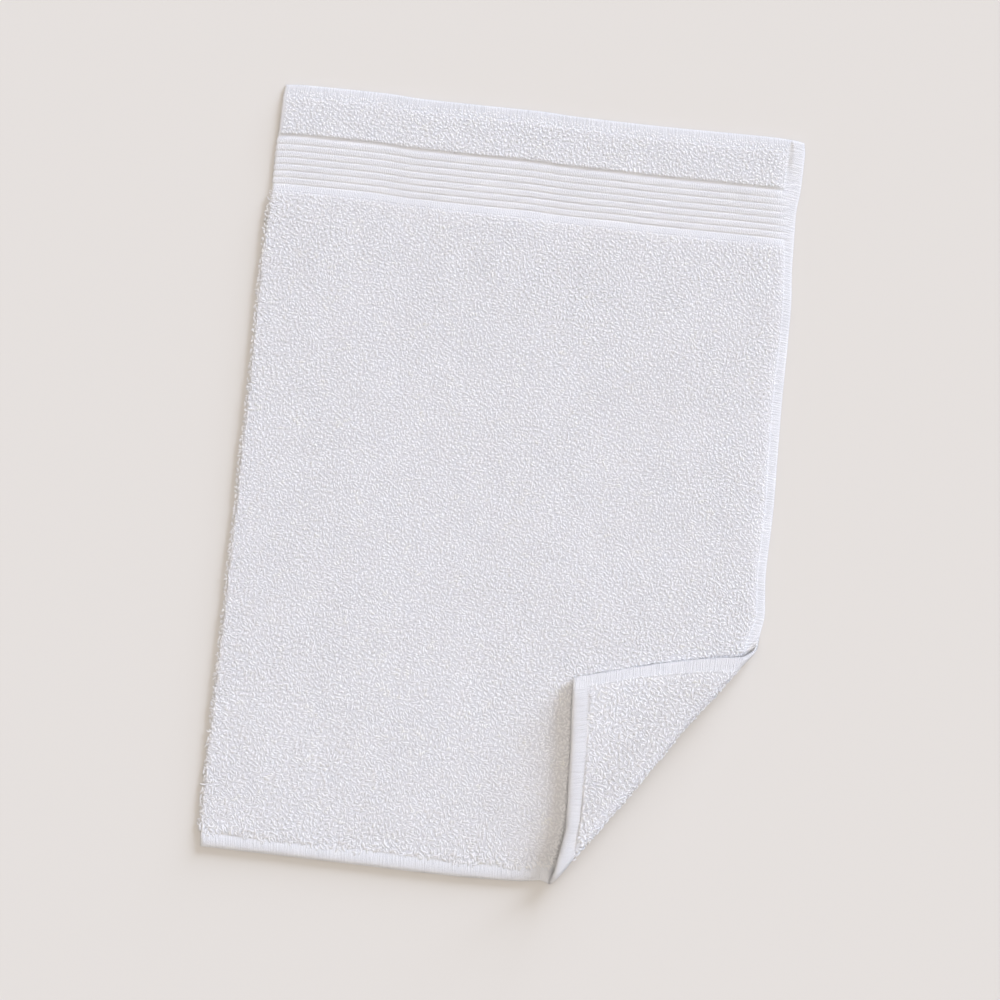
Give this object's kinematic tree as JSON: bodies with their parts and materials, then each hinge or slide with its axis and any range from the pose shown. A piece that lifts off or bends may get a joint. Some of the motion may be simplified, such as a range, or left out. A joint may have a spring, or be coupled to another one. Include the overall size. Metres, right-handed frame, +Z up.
{
  "type": "hand towel",
  "caption": "Flat terry hand towel lying face up, with a ribbed woven border near one end, turned hems, and one corner folded over onto its face",
  "frame": {"origin": "under the middle of the towel, on the surface that it lies on", "axes": "+X across the towel, +Y along it towards the end with the ribbed border, +Z up out of its face"},
  "size_m": [0.5156, 0.7374, 0.0207],
  "materials": {
    "terry_cotton": "matt white cotton terry with flat woven hems, selvedge and ribbed border"
  },
  "bodies": {
    "root": {"towel": "terry_cotton"}
  },
  "joints": []
}
